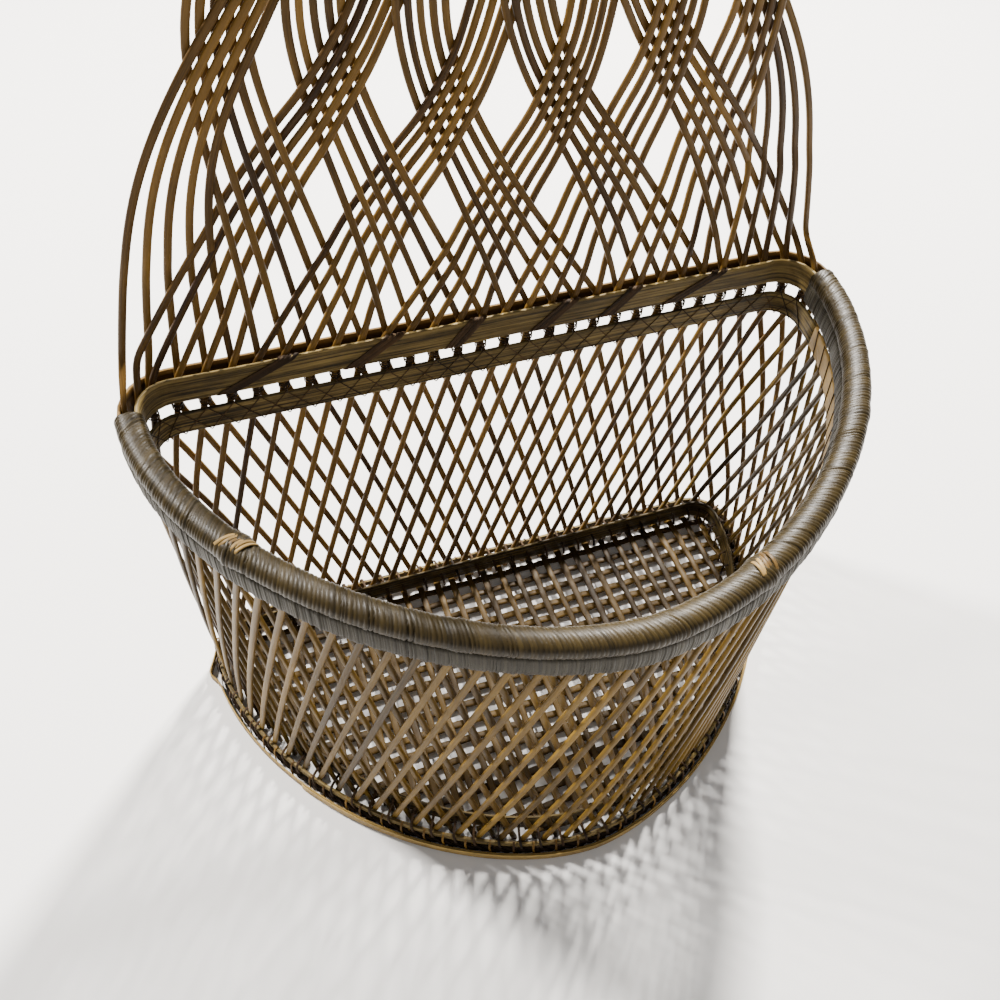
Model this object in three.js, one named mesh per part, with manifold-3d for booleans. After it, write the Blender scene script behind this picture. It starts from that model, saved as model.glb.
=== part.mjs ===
// Wicker wall basket: a D-shaped basket of crossing splints whose back splints run on upward
// as a plaited panel of five-splint bundles. Millimetres, +Z up, +Y toward the wall.
import * as THREE from "three";
import { mergeVertices } from "three/addons/utils/BufferGeometryUtils.js";
import Module from "manifold-3d";

const wasm = await Module();
wasm.setup();

// Driving sizes
const SPLINT = 2.0; // side of a square split-cane splint
const STRIP = 1.1; // thickness of a flat bamboo strip
const WRAP = 0.6; // thickness of the cane wound round the rim and the head
const GAP = 0.3; // clearance between neighbouring pieces
const TOP_HALF_WIDTH = 109; // plan of the walls at the crossing row, on the middle of the splints
const TOP_DEPTH = 117;
const BASE_HALF_WIDTH = 105.5; // the same at the floor
const BASE_DEPTH = 116.5;
const CORNER_RADIUS = 12; // back corners
const FRONT_EXPONENT = 1.75; // superellipse of the front, a little pointed at the nose
const BACK_PAIRS = 30; // splint pairs across the back
const FRONT_PAIRS = 44; // splint pairs round the front
const LEAN = 5; // pairs that a splint passes between the floor and the crossing row
const SPLINT_FOOT_Z = 0.6; // lower ends of the splints
const KNOT_Z = 128; // row where each pair crosses, between the two bands
const BAND_HEIGHT = 9; // upper band
const KNOT_GAP = 4; // open slot between the two bands
const KNOT_CLEAR = 2.5; // height of the upper band over the crossing row
const LOWER_STRIP_HEIGHT = 8;
const FOOT_HEIGHT = 5;
const FOOT_PROUD = 5; // how far the foot stands out from the splints' middle
const FOOT_CORNER = 4; // how much wider the foot's back corners are
const BASE_STRIP_HEIGHT = 4;
const BASE_HOOP_HEIGHT = 9;
const MAT_PITCH = 7.5; // spacing of the floor splints
const BASE_SPREAD = 1; // how much further apart the layers stand at the floor, off the back
const LAYER_CURVE = 1.8; // the layers close up toward the top along this power of the height
const PRESS = 0.22; // how far a front splint sinks into its partner inside the rim
const BOW = 0.5; // how far a splint's straight lengths cut across the curve of the wall
const FLAT_TURN = 0.02; // radians of wall that a splint spans without a bend
const CORNER_TURN = 0.6; // radians from which it goes round a corner
const FRONT_BENDS = 3; // straight lengths of a splint on the front
const CORNER_BENDS = 7; // the same round a corner
const HOOP_EASE = 1.35; // how much more than the layers a hoop at the floor spreads
const SLOT_BEND = 4.4; // height over the crossing row of a corner splint's bend in the slot of the band
const EASE_ROW = 0.22; // height, in rows, at which the corner splints reach the plane of the panel
const EDGE_PLACE = 0.2; // pairs kept free at the ends of the back
const CORNER_SHIFT = 0.6; // pairs that the outermost splints move on in the slot of the band
const RIM_START = 0.4; // pairs between the end of the back and the first turn of the rim binding
const RIM_ROUND = 2.2; // rounding of the rim binding's outer edges

// Plaited panel
const PANEL_HALF_WIDTH = 113.5; // half width where the panel leaves the band
const BUNDLES = 6; // bundles leaning each way
const BUNDLE_RODS = BACK_PAIRS / BUNDLES;
const MIDDLE_ROD = (BUNDLE_RODS - 1) / 2;
const MIDDLE_BUNDLE = BUNDLES / 2 - 1;
const PLAIT_START = 2.5; // first row of crossing bundles over the band
const ROW_STEPS = [33, 26, 28]; // height from each row to the next, on the middle line
const ROW_RISE = [0, 9.5, 11, 8]; // how much a row climbs for each bundle away from the middle
const ROD_PITCH = [7.55, 4, 3.8, 3.9]; // spacing of a bundle's splints at each row
const EDGE_LEAN = 0.33; // inward slope of the panel's edge just over the band
const EDGE_CURVE = 0.0004; // growth of that slope with height
const TURN_CLEAR = 0.25; // nearest that a bundle's middle comes to the edge, in bundle widths
const TURN_SQUEEZE = 0.13; // how much closer its splints lie there
const EDGE_SLOW = 1.4; // how much longer the first bundle takes to pass the one that turns
const PLAIT_SPREAD = 1.35; // how much looser the bundles lie in the panel than in the wall
const TURN_ROWS = 0.4; // rows that the turn itself takes
const CROSS_MARGIN = 0.115; // part of a row that a splint's own width takes from a change of side
const TOP_REACH = 0.2; // how far the plait goes on over its last row before it draws in to the head
const HEAD_Z = 290; // underside of the bound head
const HEAD_HEIGHT = 13;
const HEAD_BUNDLE_PITCH = 10.4;
const HEAD_PRESS = 0.35; // how far a splint sinks into its neighbour inside the bound head
const LOOP_RADIUS = 9;
const LOOP_CANE = 2.6;
const LOOP_LEGS = 6; // straight part of the loop under its arch

// Divisions
const FRONT_GROUPS = 11; // front splints are bound in groups
const HOOP_CORNER_STEPS = 7;
const HOOP_FRONT_STEPS = 26;
const MAT_EDGE_STEPS = 200;
const NORMAL_STEP = 0.05; // pairs either side of a place for its normal
const WIDEST_ROW = 3; // floor splint that reaches every splint of the other layer
const SEARCH_STEPS = 8;

// Derived sizes
const PAIRS = BACK_PAIRS + FRONT_PAIRS;
const LAYER = (SPLINT + GAP) / 2; // middle of a splint layer from the middle of the wall
const PRESSED_LAYER = SPLINT / 2 - PRESS; // the same where a front pair is bound into the rim
const PLAIT_LAYER = LAYER + PLAIT_SPREAD; // the same in the plaited panel, whose bundles lie looser
const STRIP_IN = LAYER + SPLINT / 2 + GAP; // near face of a strip from the middle of the wall
const STRIP_OUT = STRIP_IN + STRIP;
const BAND_Z = KNOT_Z + KNOT_CLEAR; // underside of the upper band
const BAND_TOP = BAND_Z + BAND_HEIGHT;
const STRIP_Z = BAND_Z - KNOT_GAP - LOWER_STRIP_HEIGHT;
const ROW_HEIGHTS = [BAND_TOP + PLAIT_START];
ROW_STEPS.forEach((step) => ROW_HEIGHTS.push(ROW_HEIGHTS.at(-1) + step));
const LAST_ROW = ROW_STEPS.length;
const MAT_LOW = SPLINT_FOOT_Z + SPLINT / 2; // middles of the floor's two layers
const MAT_HIGH = MAT_LOW + SPLINT + GAP;
const MAT_TOP = MAT_HIGH + SPLINT / 2;
const HEAD_ROD_PITCH = SPLINT - HEAD_PRESS;
const SPLINT_END_Z = BAND_TOP - GAP;
const SHORT_END_Z = KNOT_Z + 3 * SPLINT; // end of a group's last inner splint, short of the next group
const REST_Y = (STRIP_OUT - BASE_DEPTH - FOOT_PROUD - STRIP) / 2; // middle of the depth

// Materials
const cane = new THREE.MeshStandardMaterial({ color: 0x6b5330, roughness: 0.55, metalness: 0 });
const paleCane = new THREE.MeshStandardMaterial({ color: 0x9a7b4a, roughness: 0.6, metalness: 0 });
const bamboo = new THREE.MeshStandardMaterial({ color: 0x6f5c35, roughness: 0.6, metalness: 0 });
const binding = new THREE.MeshStandardMaterial({ color: 0x5c4f3d, roughness: 0.45, metalness: 0 });

const basket = new THREE.Group();
basket.position.y = -REST_Y;

function addMesh(name, geometry, material) {
  const mesh = new THREE.Mesh(geometry, material);
  mesh.name = name;
  basket.add(mesh);
}

// Closed plan of the walls. A place on it is counted in pairs: 0 to BACK_PAIRS runs along the
// back from left to right, and the rest returns round the front.
function makePlan(halfWidth, depth, corner, back) {
  const side = back - corner;
  const points = [];
  const arcSteps = 24;
  for (let i = 0; i <= arcSteps; i++) {
    const turn = Math.PI - (i / arcSteps) * (Math.PI / 2);
    const x = -halfWidth + corner + corner * Math.cos(turn);
    points.push(new THREE.Vector2(x, side + corner * Math.sin(turn)));
  }
  const backHalf = [...points, ...points.map((p) => new THREE.Vector2(-p.x, p.y)).reverse()];
  const front = [];
  const frontSteps = 240;
  for (let i = 0; i <= frontSteps; i++) {
    const turn = (i / frontSteps) * Math.PI;
    const reach = Math.sign(Math.cos(turn)) * Math.abs(Math.cos(turn)) ** (2 / FRONT_EXPONENT);
    const drop = Math.sin(turn) ** (2 / FRONT_EXPONENT);
    front.push(new THREE.Vector2(halfWidth * reach, side - (depth + side) * drop));
  }
  const backPath = measured(backHalf);
  const cornerShare = backPath.lengths[arcSteps] / backPath.lengths.at(-1);
  return { back: backPath, front: measured(front), cornerShare };
}

// A polyline with its running length
function measured(points) {
  const lengths = [0];
  for (let i = 1; i < points.length; i++) lengths.push(lengths[i - 1] + points[i].distanceTo(points[i - 1]));
  return { points, lengths };
}

function alongPolyline({ points, lengths }, share) {
  const target = share * lengths.at(-1);
  let i = 1;
  while (i < lengths.length - 1 && lengths[i] < target) i++;
  const part = (target - lengths[i - 1]) / (lengths[i] - lengths[i - 1]);
  return points[i - 1].clone().lerp(points[i], part);
}

function planPoint(plan, place) {
  const v = THREE.MathUtils.euclideanModulo(place, PAIRS);
  if (v <= BACK_PAIRS) return alongPolyline(plan.back, v / BACK_PAIRS);
  return alongPolyline(plan.front, (v - BACK_PAIRS) / FRONT_PAIRS);
}

function planNormal(plan, place) {
  const along = planPoint(plan, place + NORMAL_STEP).sub(planPoint(plan, place - NORMAL_STEP));
  return new THREE.Vector2(-along.y, along.x).normalize();
}

function wallPoint(plan, place, offset, z) {
  const p = planPoint(plan, place).addScaledVector(planNormal(plan, place), offset);
  return new THREE.Vector3(p.x, p.y, z);
}

const topPlan = makePlan(TOP_HALF_WIDTH, TOP_DEPTH, CORNER_RADIUS, 0);
const basePlan = makePlan(BASE_HALF_WIDTH, BASE_DEPTH, CORNER_RADIUS, 0);

// A path through given points, with the flat of the section kept square to a given direction
class SplintPath extends THREE.Curve {
  constructor(points, facings) {
    super();
    this.points = points;
    this.facings = facings;
  }

  getPointAt(u) {
    return this.points[Math.round(u * (this.points.length - 1))].clone();
  }

  computeFrenetFrames() {
    const last = this.points.length - 2;
    const legs = this.points.slice(1).map((p, i) => p.clone().sub(this.points[i]).normalize());
    const tangents = this.points.map((_, i) => {
      const before = legs[Math.max(i - 1, 0)];
      return before.clone().add(legs[Math.min(i, last)]).normalize();
    });
    const binormals = tangents.map((t, i) => t.clone().cross(this.facings[i]).normalize());
    const normals = tangents.map((t, i) => binormals[i].clone().cross(t));
    return { tangents, normals, binormals };
  }
}

function sweep(shape, points, facings) {
  const path = new SplintPath(points, facings);
  return new THREE.ExtrudeGeometry(shape, { steps: points.length - 1, extrudePath: path });
}

function rectangle(width, height) {
  const shape = new THREE.Shape();
  shape.moveTo(-width / 2, -height / 2);
  shape.lineTo(width / 2, -height / 2);
  shape.lineTo(width / 2, height / 2);
  shape.lineTo(-width / 2, height / 2);
  return shape;
}

const splintSection = rectangle(SPLINT, SPLINT);

// Solids for joins
function toSolid(geometry) {
  const bare = geometry.clone();
  bare.deleteAttribute("normal");
  bare.deleteAttribute("uv");
  const merged = mergeVertices(bare, 1e-4);
  const vertProperties = new Float32Array(merged.attributes.position.array);
  const triVerts = new Uint32Array(merged.index.array);
  return new wasm.Manifold(new wasm.Mesh({ numProp: 3, vertProperties, triVerts }));
}

function fromSolid(solid) {
  const mesh = solid.getMesh();
  const geometry = new THREE.BufferGeometry();
  geometry.setAttribute("position", new THREE.BufferAttribute(new Float32Array(mesh.vertProperties), 3));
  geometry.setIndex(new THREE.BufferAttribute(new Uint32Array(mesh.triVerts), 1));
  const flat = geometry.toNonIndexed();
  flat.computeVertexNormals();
  return flat;
}

function joined(geometries) {
  return fromSolid(geometries.map(toSolid).reduce((whole, next) => whole.add(next)));
}

// Value of a row table between rows
function atRow(table, row) {
  const i = Math.min(Math.floor(row), table.length - 2);
  return THREE.MathUtils.lerp(table[i], table[i + 1], row - i);
}

function panelHalfWidth(z) {
  const rise = z - BAND_TOP;
  return PANEL_HALF_WIDTH - EDGE_LEAN * rise - EDGE_CURVE * rise * rise;
}

// Splint k of right-leaning bundle i at a whole row of the plait. Bundle places run from 0 at
// the left edge to BUNDLES at the right edge, and a bundle that reaches the edge turns back.
function rowPoint(i, k, row) {
  const toEdge = Math.max(Math.abs(row / 2 - BUNDLES + i + 0.5), TURN_CLEAR);
  const fromMiddle = BUNDLES / 2 - toEdge;
  const z = ROW_HEIGHTS[row] + ROW_RISE[row] * Math.abs(fromMiddle);
  const x = (fromMiddle / (BUNDLES / 2)) * panelHalfWidth(z);
  const squeeze = toEdge > TURN_CLEAR ? 1 : 1 - TURN_SQUEEZE;
  const spread = (k - MIDDLE_ROD) * ROD_PITCH[row] * squeeze;
  return new THREE.Vector3(x + spread, 0, z);
}

// Foot of the splint in the bound head
function headSeat(i, k) {
  const last = rowPoint(i, MIDDLE_ROD, LAST_ROW);
  const slot = (last.x / panelHalfWidth(last.z)) * (BUNDLES / 2);
  const seat = Math.round(slot) + (isTurned(i, LAST_ROW) ? 0.5 : -0.5);
  return new THREE.Vector3(seat * HEAD_BUNDLE_PITCH + (k - MIDDLE_ROD) * HEAD_ROD_PITCH, 0, HEAD_Z);
}

// Smooth line of a splint through its rows. It leaves the band steeply and leans more toward the top.
function plaitPoint(i, k, row, side) {
  const points = ROW_HEIGHTS.map((_, n) => rowPoint(i, k, n));
  const below = points[0].clone();
  below.z -= ROW_STEPS[0];
  const line = new THREE.CatmullRomCurve3([below, ...points, headSeat(i, k)], false, "catmullrom");
  const p = line.getPoint((row + 1) / (line.points.length - 1));
  p.y = side * PLAIT_LAYER;
  return p;
}

// Right-leaning splints pass in front on even rows and behind on odd ones. A bundle that has
// turned at the edge leans left, and so keeps the other side.
function plaitSide(i, row) {
  const front = row % 2 === 0;
  return front === isTurned(i, row) ? 1 : -1;
}

function isTurned(i, row) {
  return row > 2 * (BUNDLES - (i + 0.5)) + TURN_ROWS;
}

// A bundle's splint spacing as a share of its part of the panel
function pitchShare(row) {
  const cell = (2 * panelHalfWidth(atRow(ROW_HEIGHTS, row))) / BUNDLES;
  return atRow(ROD_PITCH, row) / cell;
}

// How far over a splint has leaned at a row, counted in rows. It lags behind below the first row.
function rowsCrossed(row) {
  if (row >= 1) return row;
  const [foot, here, next] = [0, row, 1].map((r) => plaitPoint(MIDDLE_BUNDLE, MIDDLE_ROD, r, 0).x);
  return (here - foot) / (next - foot);
}

// A splint changes sides between the last splint that it crosses at one row and the first at the
// next. Both places depend on the spacing there, so they are closed in on step by step.
function changeRows(i, k, row) {
  const crossed = isTurned(i, row + 0.5) ? k : BUNDLE_RODS - 1 - k;
  const fromEdge = row / 2 + i;
  const slow = fromEdge === 0 || fromEdge === BUNDLES ? EDGE_SLOW : 1;
  let leave = row;
  let meet = row + 1;
  for (let n = 0; n < SEARCH_STEPS; n++) {
    leave += row + slow * crossed * pitchShare(leave) - rowsCrossed(leave);
    meet += row + 1 - (BUNDLE_RODS - 1 - crossed) * pitchShare(meet) - rowsCrossed(meet);
  }
  return [leave + CROSS_MARGIN, meet - CROSS_MARGIN];
}

// Panel part of a right-leaning splint, from the band up to the bound head
function panelPoints(i, k) {
  const points = [];
  for (let row = 0; row < LAST_ROW; row++) {
    const [leave, meet] = changeRows(i, k, row);
    points.push(plaitPoint(i, k, leave, plaitSide(i, row)));
    points.push(plaitPoint(i, k, meet, plaitSide(i, row + 1)));
  }
  const side = plaitSide(i, LAST_ROW);
  points.push(plaitPoint(i, k, LAST_ROW + TOP_REACH, side));
  const foot = headSeat(i, k);
  foot.y = side * LAYER;
  const end = foot.clone();
  end.z += HEAD_HEIGHT - WRAP - 2 * GAP;
  return [...points, foot, end];
}

const towardWall = new THREE.Vector3(0, 1, 0);

function facingAt(plan, place) {
  const n = planNormal(plan, place);
  return new THREE.Vector3(n.x, n.y, 0);
}

// Distance of a layer from the middle of the wall at the floor. The outer layer keeps flush along
// the back, and both spread round the front.
function baseLayer(side, place) {
  const flush = side > 0 ? Math.max(0, planNormal(basePlan, place).y) : 0;
  return LAYER + BASE_SPREAD * (1 - flush);
}

// A splint from the floor up to a given height, on the inner (-1) or outer (+1) side of the wall.
// It keeps nearer its partner toward the top, and has more bends where the wall turns more.
function wallRun(foot, place, side, topZ, topLayer) {
  const rise = (KNOT_Z - SPLINT_FOOT_Z) / (place - foot);
  const topPlace = foot + (topZ - SPLINT_FOOT_Z) / rise;
  const turn = facingAt(basePlan, foot).angleTo(facingAt(topPlan, topPlace));
  const bends = turn < FLAT_TURN ? 1 : turn < CORNER_TURN ? FRONT_BENDS : CORNER_BENDS;
  const points = [];
  const facings = [];
  for (let i = 0; i <= bends; i++) {
    const z = THREE.MathUtils.lerp(SPLINT_FOOT_Z, topZ, i / bends);
    const along = THREE.MathUtils.lerp(foot, topPlace, i / bends);
    const layer = side * THREE.MathUtils.lerp(baseLayer(side, foot), topLayer, (i / bends) ** LAYER_CURVE);
    const share = (z - SPLINT_FOOT_Z) / (KNOT_Z - SPLINT_FOOT_Z);
    const low = wallPoint(basePlan, along, layer, z);
    points.push(low.lerp(wallPoint(topPlan, along, layer, z), share));
    facings.push(facingAt(topPlan, along));
  }
  return { points, facings };
}

function isCorner(place) {
  return planNormal(topPlan, place).y < 1 - FLAT_TURN;
}

// Mirror image of a path in the middle plane of the basket
function mirrored(points) {
  return points.map((p) => new THREE.Vector3(-p.x, p.y, p.z));
}

// Over the crossing row the splint stays in the slot between the band's strips
function bandRun(i, k, place, layer) {
  const pairWidth = topPlan.back.lengths.at(-1) / BACK_PAIRS;
  const outermost = Math.min(place, BACK_PAIRS - place) < 1;
  const move = (rowPoint(i, k, 0).x - planPoint(topPlan, place).x) / pairWidth;
  const shift = outermost ? CORNER_SHIFT : move;
  const heights = isCorner(place) ? [KNOT_Z + SLOT_BEND, BAND_TOP + GAP] : [BAND_TOP + GAP];
  const places = heights.map((z) => {
    const moved = place + (shift * (z - KNOT_Z)) / (BAND_TOP - KNOT_Z);
    return Math.min(moved, BACK_PAIRS - EDGE_PLACE);
  });
  const points = heights.map((z, n) => wallPoint(topPlan, places[n], layer, z));
  return { points, facings: places.map((v) => facingAt(topPlan, v)) };
}

// Bundle i of one lean, counted from the side that it leans away from. The left-leaning bundles
// are the mirror images of the right-leaning ones, on the other side of the wall.
function backBundle(i, leansRight) {
  const rods = [];
  for (let k = 0; k < BUNDLE_RODS; k++) {
    const place = BUNDLE_RODS * i + k + 0.5;
    const layer = leansRight ? -LAYER : LAYER;
    const panel = panelPoints(i, k);
    const ease = plaitPoint(i, k, EASE_ROW, -1);
    if (isCorner(place) && ease.z < panel[0].z) panel.unshift(ease);
    if (!leansRight) panel.forEach((p) => (p.y = -p.y));
    const run = wallRun(place - LEAN, place, leansRight ? -1 : 1, KNOT_Z, LAYER);
    const slot = bandRun(i, k, place, layer);
    const upper = panel.filter((p) => p.z > BAND_TOP + SPLINT / 2);
    const points = [...run.points, ...slot.points, ...upper];
    const facings = [...run.facings, ...slot.facings, ...upper.map(() => towardWall)];
    const turned = leansRight ? (list) => list : mirrored;
    rods.push(sweep(splintSection, turned(points), turned(facings)));
  }
  return joined(rods);
}

for (let i = 0; i < BUNDLES; i++) {
  addMesh(`back_bundle_right_${i + 1}`, backBundle(i, true), cane);
  addMesh(`back_bundle_left_${i + 1}`, backBundle(BUNDLES - 1 - i, false), cane);
}

// Front splints: an inner and an outer splint cross at each place and end inside the rim,
// where the binding presses the two together
const GROUP_PAIRS = FRONT_PAIRS / FRONT_GROUPS;

function frontSplint(place, inner, top) {
  const foot = inner ? place - LEAN : place + LEAN;
  const { points, facings } = wallRun(foot, place, inner ? -1 : 1, top, PRESSED_LAYER);
  return sweep(splintSection, points, facings);
}

for (let group = 0; group < FRONT_GROUPS; group++) {
  const splints = [];
  for (let n = 0; n < GROUP_PAIRS; n++) {
    const place = BACK_PAIRS + group * GROUP_PAIRS + n + 0.5;
    const innerTop = n === GROUP_PAIRS - 1 ? SHORT_END_Z : SPLINT_END_Z;
    splints.push(frontSplint(place, true, innerTop));
    splints.push(frontSplint(place, false, SPLINT_END_Z));
  }
  addMesh(`front_splints_${group + 1}`, joined(splints), paleCane);
}

// Flat strip bent into a closed hoop
function hoopPlaces(plan) {
  const cornerPairs = BACK_PAIRS * plan.cornerShare;
  const places = [];
  for (let i = 0; i <= HOOP_CORNER_STEPS; i++) places.push((cornerPairs * i) / HOOP_CORNER_STEPS);
  const right = places.map((v) => BACK_PAIRS - v).reverse();
  return [...places, ...right, ...frontPlaces()];
}

function frontPlaces() {
  const places = [];
  for (let i = 1; i < HOOP_FRONT_STEPS; i++) places.push(BACK_PAIRS + (FRONT_PAIRS * i) / HOOP_FRONT_STEPS);
  return places;
}

// The faces of a hoop are given as distances from the middle of the wall. A hoop at the floor
// follows the spread of the inner (-1) or outer (+1) layer.
function hoop(plan, near, far, z, height, side = 0) {
  const ring = (offset) =>
    hoopPlaces(plan).map((place) => {
      const spread = side * HOOP_EASE * (baseLayer(side, place) - LAYER);
      const p = wallPoint(plan, place, offset + spread, 0);
      return new THREE.Vector2(p.x, p.y);
    });
  const shape = new THREE.Shape(ring(far));
  shape.holes.push(new THREE.Path(ring(near).reverse()));
  const geometry = new THREE.ExtrudeGeometry(shape, { depth: height, bevelEnabled: false });
  geometry.translate(0, 0, z);
  return geometry;
}

addMesh("upper_band_inner", hoop(topPlan, -STRIP_OUT, -STRIP_IN, BAND_Z, BAND_HEIGHT), bamboo);
addMesh("upper_band_outer", hoop(topPlan, STRIP_IN, STRIP_OUT, BAND_Z, BAND_HEIGHT), bamboo);

// The inner hoops stand clear of the splints' straight lengths
const HOOP_NEAR = -STRIP_OUT - BOW;
const HOOP_FAR = -STRIP_IN - BOW;
addMesh("lower_strip", hoop(topPlan, HOOP_NEAR, HOOP_FAR, STRIP_Z, LOWER_STRIP_HEIGHT), bamboo);
addMesh("base_inner_hoop", hoop(basePlan, HOOP_NEAR, HOOP_FAR, MAT_TOP + GAP, BASE_HOOP_HEIGHT, -1), bamboo);
const outerStripZ = FOOT_HEIGHT + 2 * GAP;
addMesh("base_outer_strip", hoop(basePlan, STRIP_IN, STRIP_OUT, outerStripZ, BASE_STRIP_HEIGHT, 1), bamboo);

const footHalfWidth = BASE_HALF_WIDTH + FOOT_PROUD;
const footPlan = makePlan(footHalfWidth, BASE_DEPTH + FOOT_PROUD, CORNER_RADIUS + FOOT_CORNER, STRIP_IN);
addMesh("foot_strip", hoop(footPlan, 0, STRIP, 0, FOOT_HEIGHT), paleCane);

// Rim binding: a wound channel over both band strips, open below for the splints
const RIM_IN = STRIP_OUT + GAP;
const RIM_OUT = RIM_IN + WRAP;
const RIM_LIP = STRIP_IN; // the binding returns under the strips as far as the splints
function rimSection() {
  const low = BAND_Z - GAP;
  const high = BAND_TOP + GAP;
  const crown = high + WRAP + RIM_ROUND / 4;
  const half = [
    [RIM_OUT - RIM_ROUND, crown],
    [RIM_OUT, high + WRAP - RIM_ROUND / 2],
    [RIM_OUT, low + WRAP],
    [RIM_OUT - RIM_ROUND / 2, low - WRAP],
    [RIM_LIP, low - WRAP],
    [RIM_LIP, low],
    [RIM_IN, low],
    [RIM_IN - WRAP / 6, high],
  ];
  const right = half.map(([x, y]) => new THREE.Vector2(x, y));
  const left = half.map(([x, y]) => new THREE.Vector2(-x, y)).reverse();
  return new THREE.Shape([...right, ...left]);
}

function rimBinding() {
  const places = [BACK_PAIRS + RIM_START, ...frontPlaces(), PAIRS - RIM_START];
  const points = places.map((place) => wallPoint(topPlan, place, 0, 0));
  const facings = places.map((place) => facingAt(topPlan, place));
  return sweep(rimSection(), points, facings);
}
addMesh("rim_binding", rimBinding(), binding);

// Floor mat: splints laid both ways, pressed into each other along one splint of each layer
const matEdge = Array.from({ length: MAT_EDGE_STEPS }, (_, i) => {
  const place = (i * PAIRS) / MAT_EDGE_STEPS;
  return wallPoint(basePlan, place, HOOP_FAR - BASE_SPREAD, 0);
});

// Where a line across the floor meets the mat's edge, along the other axis
function matSpan(axis, value) {
  const across = axis === "x" ? "y" : "x";
  const hits = [];
  matEdge.forEach((p, i) => {
    const q = matEdge[(i + 1) % matEdge.length];
    if ((p[axis] - value) * (q[axis] - value) > 0) return;
    const part = (value - p[axis]) / (q[axis] - p[axis]);
    hits.push(p[across] + part * (q[across] - p[across]));
  });
  return [Math.min(...hits), Math.max(...hits)];
}

function matSplint(axis, value, z) {
  const sides = [value - SPLINT / 2, value + SPLINT / 2].map((v) => matSpan(axis, v));
  const low = Math.max(...sides.map((span) => span[0]));
  const high = Math.min(...sides.map((span) => span[1]));
  const size = axis === "x" ? [SPLINT, high - low, SPLINT] : [high - low, SPLINT, SPLINT];
  const middle = (low + high) / 2;
  const geometry = new THREE.BoxGeometry(...size);
  geometry.translate(axis === "x" ? value : middle, axis === "x" ? middle : value, z);
  return geometry;
}

const MAT_PRESS = (MAT_LOW + MAT_HIGH) / 2;
const matHalf = Math.floor((BASE_HALF_WIDTH - STRIP_OUT - SPLINT) / MAT_PITCH);
const matRows = Math.floor((BASE_DEPTH - 2 * STRIP_OUT) / MAT_PITCH);
const mat = [];
for (let i = -matHalf; i <= matHalf; i++) {
  mat.push(matSplint("x", i * MAT_PITCH, i === 0 ? MAT_PRESS : MAT_HIGH));
}
for (let j = 1; j <= matRows; j++) {
  mat.push(matSplint("y", -j * MAT_PITCH, j === WIDEST_ROW ? MAT_PRESS : MAT_LOW));
}
addMesh("base_mat", joined(mat), paleCane);

// Bound head: a wound cap over the bundles' ends, and the hanging loop on top of it
function headBinding() {
  const innerHalf = (BUNDLES * HEAD_BUNDLE_PITCH) / 2 + GAP;
  const outerHalf = innerHalf + WRAP;
  const shape = new THREE.Shape();
  shape.moveTo(-outerHalf, 0);
  shape.lineTo(-innerHalf, 0);
  shape.lineTo(-innerHalf, HEAD_HEIGHT - WRAP);
  shape.lineTo(innerHalf, HEAD_HEIGHT - WRAP);
  shape.lineTo(innerHalf, 0);
  shape.lineTo(outerHalf, 0);
  shape.lineTo(outerHalf, HEAD_HEIGHT);
  shape.lineTo(-outerHalf, HEAD_HEIGHT);
  const walls = new THREE.ExtrudeGeometry(shape, { depth: 2 * STRIP_OUT, bevelEnabled: false });
  walls.rotateX(Math.PI / 2);
  walls.translate(0, STRIP_OUT, HEAD_Z);
  const face = new THREE.BoxGeometry(2 * outerHalf, STRIP, HEAD_HEIGHT);
  const middleY = STRIP_OUT - STRIP / 2;
  const faces = [-middleY, middleY].map((y) => face.clone().translate(0, y, HEAD_Z + HEAD_HEIGHT / 2));
  return joined([walls, ...faces]);
}
addMesh("head_binding", headBinding(), binding);

function hangingLoop() {
  const foot = HEAD_Z + HEAD_HEIGHT + GAP;
  const steps = 14;
  const points = [new THREE.Vector3(LOOP_RADIUS, 0, foot)];
  for (let i = 0; i <= steps; i++) {
    const turn = (i / steps) * Math.PI;
    const z = foot + LOOP_LEGS + LOOP_RADIUS * Math.sin(turn);
    points.push(new THREE.Vector3(LOOP_RADIUS * Math.cos(turn), 0, z));
  }
  points.push(new THREE.Vector3(-LOOP_RADIUS, 0, foot));
  const section = new THREE.Shape().absarc(0, 0, LOOP_CANE / 2, 0, 2 * Math.PI);
  const round = new THREE.Shape(section.getPoints(2).slice(0, -1));
  return sweep(round, points, points.map(() => towardWall));
}
addMesh("hanging_loop", hangingLoop(), binding);

export default basket;
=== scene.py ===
import math

import bpy
import numpy as np
from mathutils import Matrix, Vector


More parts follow.
